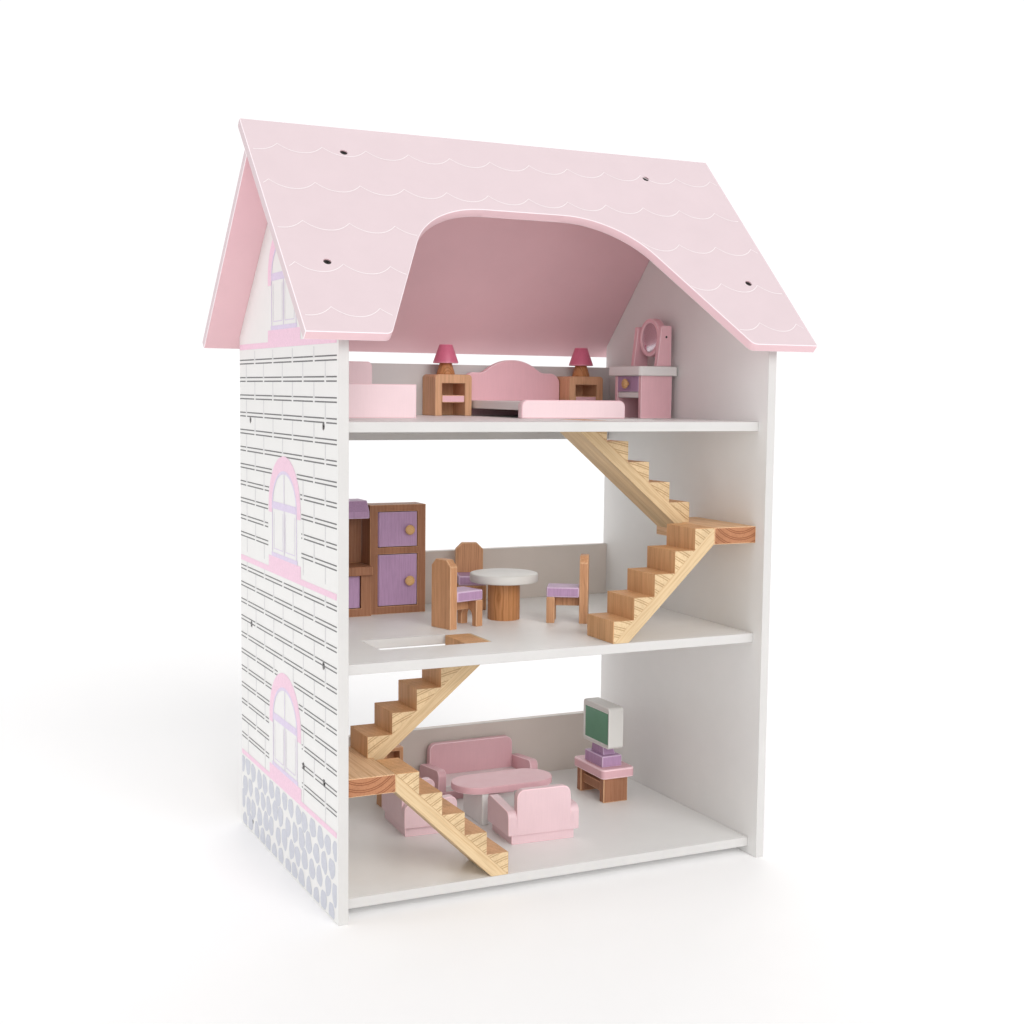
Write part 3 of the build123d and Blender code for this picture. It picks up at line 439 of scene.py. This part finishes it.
# ---------------------------------------------------------------- camera
CAMERA_ANGLES = (25.768, -5.007, 0.636)  # yaw, pitch and roll in degrees
CAMERA_PLACE = (-0.5918, -1.2589, 0.4573)
FOCAL_LENGTH, SENSOR_WIDTH = 49.02, 36
yaw, pitch, roll = (math.radians(a) for a in CAMERA_ANGLES)
look = Vector(
    (math.sin(yaw) * math.cos(pitch), math.cos(yaw) * math.cos(pitch), math.sin(pitch))
)
side = Vector((math.cos(yaw), -math.sin(yaw), 0))
above = side.cross(look)
right = side * math.cos(roll) + above * math.sin(roll)
up = above * math.cos(roll) - side * math.sin(roll)
camera_data = bpy.data.cameras.new("camera")
camera_data.lens = FOCAL_LENGTH
camera_data.sensor_width = SENSOR_WIDTH
camera = bpy.data.objects.new("camera", camera_data)
bpy.context.scene.collection.objects.link(camera)
pose = Matrix((right, up, -look)).transposed().to_4x4()
pose.translation = Vector(CAMERA_PLACE)
camera.matrix_world = pose
bpy.context.scene.camera = camera

# ---------------------------------------------------------------- light and floor
bpy.context.scene.view_settings.view_transform = "Standard"
AMBIENT = 0.66  # what the object gets from the world
BACKDROP = 1.05  # what the camera sees of it: plain white
FLOOR_GLOW = 0.07  # keeps the pale floor white out to the horizon
FLOOR_REACH = 6
world = bpy.data.worlds.new("studio")
bpy.context.scene.world = world
world.use_nodes = True
background = world.node_tree.nodes["Background"]
background.inputs["Color"].default_value = (1.0, 1.0, 1.0, 1.0)
rays = world.node_tree.nodes.new("ShaderNodeLightPath")
strength = world.node_tree.nodes.new("ShaderNodeMapRange")
strength.inputs["To Min"].default_value = AMBIENT
strength.inputs["To Max"].default_value = BACKDROP
world.node_tree.links.new(rays.outputs["Is Camera Ray"], strength.inputs["Value"])
world.node_tree.links.new(strength.outputs["Result"], background.inputs["Strength"])


def sun(name, from_direction, strength, softness, colour=(1, 1, 1)):
    """A soft, distant light. softness is the width of its disc in degrees."""
    data = bpy.data.lights.new(name, "SUN")
    data.energy = strength * math.pi
    data.angle = math.radians(softness)
    data.color = colour
    lamp = bpy.data.objects.new(name, data)
    bpy.context.scene.collection.objects.link(lamp)
    lamp.matrix_world = Vector(from_direction).to_track_quat("Z", "Y").to_matrix().to_4x4()


sun("key", (0.1, -1.0, 0.62), 0.39, 36, (1.0, 0.995, 0.99))
sun("low", (-0.35, -1.0, 0.22), 0.12, 30)
sun("side", (-1.0, 0.1, 0.35), 0.18, 30)
sun("rear", (0.6, 1.0, 0.8), 0.16, 40)

floor_mesh = bpy.data.meshes.new("floor")
floor_corners = [
    (x * FLOOR_REACH, y * FLOOR_REACH, 0)
    for x, y in ((-1, -1), (1, -1), (1, 1), (-1, 1))
]
floor_mesh.from_pydata(floor_corners, [], [(0, 1, 2, 3)])
floor = bpy.data.objects.new("floor", floor_mesh)
bpy.context.scene.collection.objects.link(floor)
floor_paint = paint("floor_paint", "#FBFAFA", rough=0.7, spread=0.01)
floor_shader = floor_paint.node_tree.nodes["Principled BSDF"]
floor_shader.inputs["Emission Color"].default_value = (1.0, 1.0, 1.0, 1.0)
floor_shader.inputs["Emission Strength"].default_value = FLOOR_GLOW
floor_mesh.materials.append(floor_paint)

# ---------------------------------------------------------------- shell
HOUSE = "house"


def to_front(normal):
    """The second look for faces that look towards the open front."""
    return 1 if normal.y < -0.5 else 0


for node in (
    "left_wall",
    "right_wall",
    "ground_floor",
    "middle_floor",
    "attic_floor",
    "ground_back_rail",
    "middle_back_rail",
    "attic_back_rail",
):
    # The two lower back rails take the darker beige copy of the white, all faces alike:
    # painted shade.
    shaded = node in ("ground_back_rail", "middle_back_rail")
    soften(
        node,
        HOUSE,
        [RAIL_PAINTED_SHADE, RAIL_PAINTED_SHADE] if shaded else [WHITE, FRONT_AND_EDGE_GREY],
        FRONT_AND_EDGE_GREY,
        0.45,
        facing=to_front,
    )

for node, outward in (("roof_front", (0, -1, 1)), ("roof_back", (0, 1, 1))):
    direction = Vector(outward).normalized()

    def panel_look(normal, direction=direction):
        """Outer face and gable ends, inner face, or the rim round the panel."""
        if abs(normal.dot(direction)) < 0.5 and abs(normal.x) < 0.99:
            return 2
        return 1 if normal.dot(direction) < -0.5 else 0

    # The inner faces take the more saturated pink copy: painted shade under the roof.
    looks = [ROOF, ROOF_UNDER_PAINTED_SHADE, ROOF_RIM]
    soften(node, HOUSE, looks, ROOF_EDGE, 0.6, facing=panel_look)

# ---------------------------------------------------------------- screws
HALF_WIDTH, HALF_DEPTH, EAVE, BOARD = 220.0, 157.5, 508.0, 9.0
ROOT = math.sqrt(0.5)


def on_roof(sign, x, slope, lift=BOARD):
    """A point over the front (-1) or back (1) roof panel's inner face."""
    return (
        x,
        sign * (HALF_DEPTH - slope * ROOT + lift * ROOT),
        EAVE + slope * ROOT + lift * ROOT,
    )


FLOOR_SCREWS = [(y, z) for z in (12.5, 217.5, 424.5) for y in (-117, 117)]
LANDING_SCREW_Z = {-1: 114.3, 1: 319.3}
EAVE_SCREW_X, RIDGE_SCREW_X, EAVE_SCREW_SLOPE = 215.5, 163, 70
HEAD_SIDES, HEAD_SINK = 28, 0.75
HEAD_PROFILE = ((3.35, -1.8), (3.35, -0.35), (2.9, 0.0), (1.6, 0.2))

heads = []  # the place of each screw head and the way it looks
for sign in (-1, 1):
    levels = FLOOR_SCREWS + [(y, LANDING_SCREW_Z[sign]) for y in (-118.3, -58.5)]
    heads += [((sign * HALF_WIDTH, y, z), (sign, 0, 0)) for y, z in levels]
ridge = HALF_DEPTH * math.sqrt(2) + BOARD / 2
spots = [(-1, way * EAVE_SCREW_X, EAVE_SCREW_SLOPE) for way in (-1, 1)]
spots += [(-1, way * RIDGE_SCREW_X, ridge) for way in (-1, 1)]
spots += [(1, way * EAVE_SCREW_X, EAVE_SCREW_SLOPE) for way in (-1, 1)]
for sign, x, slope in spots:
    heads.append((on_roof(sign, x, slope), (0, sign * ROOT, ROOT)))

bm = bmesh.new()
for place, outward in heads:
    turn = Vector((0, 0, 1)).rotation_difference(Vector(outward)).to_matrix()
    base = Vector(place) - Vector(outward) * HEAD_SINK
    rings = []
    for radius, height in HEAD_PROFILE:
        ring = []
        for i in range(HEAD_SIDES):
            a = 2 * math.pi * i / HEAD_SIDES
            spot = Vector((radius * math.cos(a), radius * math.sin(a), height))
            ring.append(bm.verts.new((base + turn @ spot) * MM))
        rings.append(ring)
    for low, high in zip(rings, rings[1:]):
        for i in range(HEAD_SIDES):
            j = (i + 1) % HEAD_SIDES
            bm.faces.new((low[i], low[j], high[j], high[i]))
    bm.faces.new(rings[-1])
    # The cross is a flat dark face laid on the head, not a hollow: painted shade of the
    # recess.
    arm, half = 1.9, 0.42
    cross = [(half, half), (half, arm), (-half, arm), (-half, half), (-arm, half)]
    cross += [(-arm, -half), (-half, -half), (-half, -arm), (half, -arm)]
    cross += [(half, -half), (arm, -half), (arm, half)]
    points = [bm.verts.new((base + turn @ Vector((x, y, 0.26))) * MM) for x, y in cross]
    bm.faces.new(points).material_index = 1
screw_mesh = bpy.data.meshes.new("screw_heads")
bm.to_mesh(screw_mesh)
bm.free()
smooth(screw_mesh, 30)
add_object(
    "screw_heads", screw_mesh, [SCREW, SCREW_RECESS_SHADE], HOUSE, ["screws"]
)

# ---------------------------------------------------------------- wall print
PRINT_PINK = ink("print_pink", "#F0CBDD")
PRINT_LILAC = ink("print_lilac", "#DCCFE6")
PRINT_DASH = ink("print_dash", "#6B6A6B", 0.15)
PRINT_JOINT = ink("print_joint", "#D6D5D6")
PRINT_STONE = ink("print_stone", "#C9CBD4", 0.05)
BAND_TOPS = (500.0, 285.0, 80.0)
PRINT_FRONT, PRINT_BACK = -153.0, 156.0


def rect(y0, y1, z0, z1):
    """A rectangle of print on a wall, in millimetres across and up."""
    return [(y0, z0), (y1, z0), (y1, z1), (y0, z1)]


def arch(half, spring, rise, steps=28):
    """Points along half an ellipse that stands on the height spring."""
    return [
        (
            half * math.cos(math.pi * i / steps),
            spring + rise * math.sin(math.pi * i / steps),
        )
        for i in range(steps + 1)
    ]


def ring_faces(outer, inner):
    """The band between two arches of as many points."""
    return [
        [outer[i], outer[i + 1], inner[i + 1], inner[i]] for i in range(len(outer) - 1)
    ]


pink, lilac, dashes, joints = [], [], [], []
stones = [[], [], [], []]
for top in BAND_TOPS:
    thick = 5.5 if top > 100 else 5.0
    pink.append(rect(PRINT_FRONT, PRINT_BACK, top - thick, top))
    pink.append(rect(-52, 52, top, top + 11))
    pink += ring_faces(arch(51.5, top + 60, 48.3), arch(40.5, top + 60, 34.5))
    for edge_y in (-46, 46):
        pink.append(rect(edge_y - 5.5, edge_y + 5.5, top + 53, top + 60))
    lilac += ring_faces(arch(40.5, top + 60, 34.5), arch(37.5, top + 60, 31.5))
    lilac.append(rect(-42, 42, top + 11, top + 15))
    lilac.append(rect(-40.5, 40.5, top + 57, top + 60))
    lilac.append(rect(-37.0, 37.0, top + 60, top + 64))
    for y in (-39.0, 0.0, 39.0):
        lilac.append(rect(y - 0.9, y + 0.9, top + 15, top + 57))
    lilac.append(rect(-0.8, 0.8, top + 64, top + 91.4))
    for y in (-33.5, -4.5, 4.5, 33.5):
        lilac.append(rect(y - 0.35, y + 0.35, top + 19.3, top + 54))
    lilac.append(rect(-33.5, -4.5, top + 18.6, top + 19.3))
    lilac.append(rect(4.5, 33.5, top + 18.6, top + 19.3))


def window_half(z):
    """Half the width that the windows take at height z."""
    for top in BAND_TOPS:
        if top <= z <= top + 60:
            return 54.0
        if top + 60 < z < top + 109:
            return 53.0 * math.sqrt(max(0.0, 1 - ((z - top - 60) / 49.5) ** 2))
    return 0.0


odd = [-122.5 + 63.5 * i for i in range(5)]
even = [-91.0 + 63.5 * i for i in range(4)]
rows = [(482.3 - 17.55 * i, i) for i in range(11)]
rows += [(272.6 - 17.65 * i, i + 1) for i in range(11)]
for z, number in rows:
    gaps = even if number % 2 == 0 else odd
    hidden = window_half(z)
    cuts = [PRINT_FRONT, *gaps, PRINT_BACK]
    for begin, finish in zip(cuts, cuts[1:]):
        begin += 2.6 if begin != PRINT_FRONT else 0
        finish -= 2.6 if finish != PRINT_BACK else 0
        spans = [(begin, finish)]
        if hidden:
            spans = [(begin, min(finish, -hidden)), (max(begin, hidden), finish)]
        for first, last in spans:
            if last - first < 2:
                continue
            for level in (-1.85, 1.85):
                dashes.append(rect(first, last, z + level - 0.6, z + level + 0.6))
    height = 16.4 if z not in (482.3, 272.6) else 10.5
    for y in gaps:
        if abs(y) > max(window_half(z + 2), window_half(z + 16)):
            joints.append(rect(y - 1.1, y + 1.1, z + 0.6, z + height))
for z in (100.0, 310.0):
    for y in odd:
        if abs(y) > 54:
            joints.append(rect(y - 1.1, y + 1.1, z - 20.5, z - 5.5))

chance = random.Random(7)
for row in range(4):
    for column in range(15):
        y = -150 + column * 21.8 + (10.9 if row % 2 else 0) + chance.uniform(-2, 2)
        z = 65 - row * 19.5 + chance.uniform(-2.5, 2.5)
        wide, tall = chance.uniform(7.9, 9.4), chance.uniform(8.8, 10.6)
        tilt = chance.uniform(-0.5, 0.5)
        shape = []
        for i in range(18):
            a = 2 * math.pi * i / 18
            reach = 1 + 0.07 * math.sin(3 * a + column) + 0.05 * math.cos(5 * a + row)
            dy, dz = wide * reach * math.cos(a), tall * reach * math.sin(a)
            py = y + dy * math.cos(tilt) - dz * math.sin(tilt)
            pz = z + dy * math.sin(tilt) + dz * math.cos(tilt)
            shape.append((min(max(py, PRINT_FRONT), PRINT_BACK), min(max(pz, 1.5), 73)))
        stones[row % 2 * 2 + column % 2].append(shape)

layers = (
    ("joints", joints, PRINT_JOINT, 0.10),
    *(
        (f"stones_{i}", faces, PRINT_STONE, 0.105 + 0.01 * i)
        for i, faces in enumerate(stones)
    ),
    ("dashes", dashes, PRINT_DASH, 0.14),
    ("pink", pink, PRINT_PINK, 0.16),
    ("lilac", lilac, PRINT_LILAC, 0.20),
)
for label, sign in (("left", -1), ("right", 1)):
    for layer, faces, material, lift in layers:

        def on_wall(y, z, sign=sign, lift=lift):
            return (sign * (HALF_WIDTH + lift), y, z)

        ordered = faces if sign > 0 else [list(reversed(f)) for f in faces]
        decal(
            f"{label}_wall_{layer}", HOUSE, ordered, on_wall, material
        )


# ---------------------------------------------------------------- roof print
def in_cutout(x, slope):
    """Whether a point of the front panel lies in its cut-out, in slope millimetres."""
    if slope > 156.5:
        return False
    centre = 66.5
    if slope > 104.5:
        reach = 42 + math.sqrt(max(0.0, 90**2 - (slope - centre) ** 2))
    else:
        reach = 123.6 + (104.5 - slope) / math.tan(math.radians(65))
    return abs(x) < reach + 1.5


scallops = {-1: [], 1: []}
pitch_x, sag, line = 42.65, 11.0, 0.48
for sign in (-1, 1):
    limit = 264.0 if sign < 0 else 220.0
    for number, crest in enumerate((223, 169, 114, 58.5, 4)):
        shift = -31.3 if number in (1, 3) else -12.4
        for k in range(-7, 8):
            first = shift + k * pitch_x
            points = []
            for i in range(15):
                t = i / 14
                drop = sag * (1 - abs(2 * t - 1) ** 2.2)
                points.append((first + pitch_x * t, crest + 9 - drop))
            for (xa, sa), (xb, sb) in zip(points, points[1:]):
                if max(abs(xa), abs(xb)) > 251 or not -14 < min(sa, sb) < limit:
                    continue
                if sign < 0 and (in_cutout(xa, sa) or in_cutout(xb, sb)):
                    continue
                scallops[sign].append(
                    [(xa, sa - line), (xb, sb - line), (xb, sb + line), (xa, sa + line)]
                )
SCALLOP = ink("scallop_ink", "#F4EAEC", 0.02)
for label, sign in (("front", -1), ("back", 1)):

    def over_roof(x, slope, sign=sign):
        return on_roof(sign, x, slope, BOARD + 0.12)

    ordered = (
        scallops[sign] if sign < 0 else [list(reversed(f)) for f in scallops[sign]]
    )
    decal(f"roof_{label}_scallops", HOUSE, ordered, over_roof, SCALLOP)

# ---------------------------------------------------------------- stairs
PINE_LIGHT, PINE_LINE = "#DFC59D", "#BE925F"
STEP_FACE = wood("step_face", "#DBAA7B", "#BE8857", "Z", (260, 0, 0), 6.0, 0.45, 1.5)
for label, sign in (("left", -1), ("right", 1)):
    base = 17.0 if sign < 0 else 222.0
    core = (sign * 193, 0, base + 129)
    landing_top = wood(
        f"{label}_landing_top", "#EBC49C", "#CC9A6A", "Y", core, 5.6, 0.6, 1.6
    )
    landing_front = wood(
        f"{label}_landing_front", "#B8805C", "#804627", "Y", core, 6.4, 1.0, 1.2
    )
    soften(
        f"{label}_landing",
        HOUSE,
        [landing_top, landing_front],
        landing_top,
        0.7,
        facing=to_front,
    )
    boards = [
        wood(
            f"{label}_{flight}_board",
            PINE_LIGHT,
            PINE_LINE,
            "X",
            (0, depth, base),
            5.4,
            0.3,
            1.6,
            sign * math.radians(angle),
        )
        for flight, depth, angle in (("lower", -230, 43.8), ("upper", 40, -40.0))
    ]

    def flight_look(centre, size, base=base):
        return 0 if centre[2] < base + 100 else 1

    soften(
        f"{label}_stair_boards", HOUSE, boards, boards[0], 0.6, flight_look
    )
    core = (sign * 30, 0, base - 90)
    step_end = wood(
        f"{label}_step_end", PINE_LIGHT, "#A88358", "Y", core, 7.5, 0.85, 1.4
    )
    soften(
        f"{label}_stair_steps",
        HOUSE,
        [STEP_FACE, step_end],
        STEP_FACE,
        0.5,
        facing=to_front,
    )

# ---------------------------------------------------------------- attic furniture
soften("double_bed_headboard", "double_bed", [PINK], PINK_EDGE, 1.1)
soften("double_bed_footboard", "double_bed", [PALE], PINK_EDGE, 1.1)
soften("double_bed_base", "double_bed", [WHITE], WHITE_EDGE, 0.9)
soften("small_bed_frame", "small_bed", [PALE], PINK_EDGE, 0.7)
soften("small_bed_base", "small_bed", [WHITE], WHITE_EDGE, 0.9)


def shelf_or_frame(centre, size):
    """The second look for the nightstand's flat shelf."""
    return 1 if size[2] < 10 else 0


for label in ("left", "right"):
    body = f"{label}_nightstand_and_lamp"
    soften(
        f"{label}_nightstand",
        body,
        [BEECH_PAINTED_LIGHT, PINK],
        BEECH_EDGE,
        0.8,
        shelf_or_frame,
    )
    low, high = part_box(f"{label}_lamp")
    x, y = (low[0] + high[0]) / 2 / MM, (low[1] + high[1]) / 2 / MM
    z = low[2] / MM
    foot = [(0, 0), (9.5, 0), (9.95, 0.6), (9.8, 1.4), (6.6, 12), (0, 12)]
    revolve(
        f"{label}_lamp_foot",
        body,
        foot,
        (x, y, z),
        (0, 0, 1),
        [BEECH_TURNED],
        [f"{label}_lamp"],
    )
    shade = [(0, 12), (13.1, 12), (13.65, 12.5), (13.6, 13.3), (7.2, 31.4)]
    shade += [(6.5, 32.15), (0, 32.2)]
    revolve(
        f"{label}_lamp_shade",
        body,
        shade,
        (x, y, z),
        (0, 0, 1),
        [SHADE, SHADE_EDGE],
        band=[0, 1, 1, 0, 1, 0],
    )

soften("vanity_body", "vanity", [PINK], PINK_EDGE, 0.6)
soften("vanity_top_and_shelf", "vanity", [WHITE], WHITE_EDGE, 1.1)
soften("mirror_uprights", "vanity", [PINK], PINK_EDGE, 0.8)


def is_knob(centre, size):
    """Whether a solid of the drawer is its knob, which is turned anew below."""
    return max(size[0], size[2]) < 12 and min(size[0], size[1]) > 4


def is_knob_or_pin(centre, size):
    """Whether a solid of a door is its knob or one of its pins."""
    return max(size[0], size[2]) < 12


def knob(name, body, base, axis, radius):
    """A turned ball knob on a short neck, 6.5 mm proud."""
    steps = [(2.2, 0.0), (2.0, 0.7), (2.2, 1.4)]
    for i in range(1, 12):
        a = -1.2 + i * 0.245
        steps.append((radius * math.cos(a) ** 0.8, 3.9 + 2.6 * math.sin(a)))
    steps = [s for s in steps if s[1] <= 6.48]
    steps.append((0, 6.45))
    revolve(name, body, steps, base, axis, [KNOB])


soften(
    "vanity_drawer", "drawer", [LILAC], LILAC_EDGE, 0.6, drop=is_knob
)
knob("drawer_knob", "drawer", (167.0, 32.25, 465.1), (-1, 0, 0), 5.3)

mirror_centre = (192.0, 32.25, 514.5)
ring_profile = [(0, 10), (19.3, 10), (20.1, 9.5), (20.4, 8.6), (20.4, 1.4)]
ring_profile += [(20.1, 0.5), (19.3, 0), (16.2, 0), (15.65, 0.6), (15.6, 2.4)]
ring_profile += [(0, 2.4)]
revolve(
    "mirror_frame",
    "mirror",
    ring_profile,
    mirror_centre,
    (1, 0, 0),
    [PINK, PINK_EDGE],
    ["mirror_ring"],
    [0, 0, 1, 0, 1, 1, 0, 1, 0, 0],
)
for label, y in (("near", 5.0), ("far", 48.8)):
    pin = [(0, 0), (1.1, 0), (1.25, 0.3), (1.25, 10.4), (1.1, 10.7), (0, 10.7)]
    revolve(
        f"mirror_pin_{label}",
        "mirror",
        pin,
        (197.0, y, 514.5),
        (0, 1, 0),
        [SCREW],
    )
GLASS = metal("mirror_silver", "#CDBFC6", 0.06)
glass_profile = [(0, 2.39), (15.5, 2.39), (15.5, 1.2), (14.8, 1.0), (0, 0.95)]
revolve(
    "mirror_face",
    "mirror",
    glass_profile,
    mirror_centre,
    (1, 0, 0),
    [GLASS],
    ["mirror_glass"],
)

# ---------------------------------------------------------------- kitchen
soften("kitchen_case", "kitchen", [BEECH_PAINTED_SHADE], BEECH, 0.5)
soften("kitchen_hood", "kitchen", [LILAC], LILAC_EDGE, 0.9)
for node, base in (
    ("upper_door", (-56.0, 99.8, 310.0)),
    ("lower_door", (-56.0, 99.8, 256.4)),
    ("side_door", (-138.1, 93.8, 247.6)),
):
    soften(
        node, node, [LILAC], LILAC_EDGE, 0.4, drop=is_knob_or_pin
    )
    knob(node + "_knob", node, base, (0, -1, 0), 5.3)

# ---------------------------------------------------------------- dining set
top = [(0, 39), (33.6, 39), (34.7, 39.4), (35.1, 40.4), (35.1, 46.6)]
top += [(34.7, 47.6), (33.6, 48), (0, 48)]
revolve(
    "round_table_disc",
    "round_table",
    top,
    (20.6, 27.1, 222),
    (0, 0, 1),
    [WHITE_PAINTED_SHADE],
    ["round_table_top"],
)
drum = [(0, 0), (16.1, 0), (16.6, 0.6), (16.6, 39), (0, 39)]
revolve(
    "round_table_drum",
    "round_table",
    drum,
    (20.6, 27.1, 222),
    (0, 0, 1),
    [BEECH_TURNED],
    ["round_table_base"],
)
for label in ("left", "back", "right"):
    body = f"{label}_chair"
    soften(f"{body}_frame", body, [BEECH], BEECH_EDGE, 0.9)
    soften(f"{body}_seat", body, [LILAC], LILAC_EDGE, 1.3)

# ---------------------------------------------------------------- living room
for body in ("sofa", "left_armchair", "right_armchair"):
    seat_look = PINK_PAINTED_SHADE if body == "sofa" else PINK_CHAIR
    soften(f"{body}_body", body, [seat_look], PINK_EDGE, 0.8)
    soften(f"{body}_seat", body, [SEAT], WHITE_EDGE, 1.0)
soften("coffee_table_top", "coffee_table", [PINK_PAINTED_SHADE], PINK_EDGE, 0.8)
soften("coffee_table_legs", "coffee_table", [WHITE], WHITE_EDGE, 0.8)
soften("tv_table_top", "tv_table", [PINK_PAINTED_SHADE], PINK_EDGE, 1.6)
soften("tv_table_legs", "tv_table", [BEECH_PAINTED_SHADE], BEECH_EDGE, 0.9)
soften("tv_case", "tv", [WHITE_PAINTED_SHADE], WHITE_EDGE, 1.3)
soften("tv_screen", "tv", [SCREEN], SCREEN, 0.2)
soften("tv_stand", "tv", [LILAC], LILAC_EDGE, 0.9)
soften("small_shelf", "small_shelf", [BEECH], BEECH_EDGE, 0.7)


bpy.context.view_layer.update()
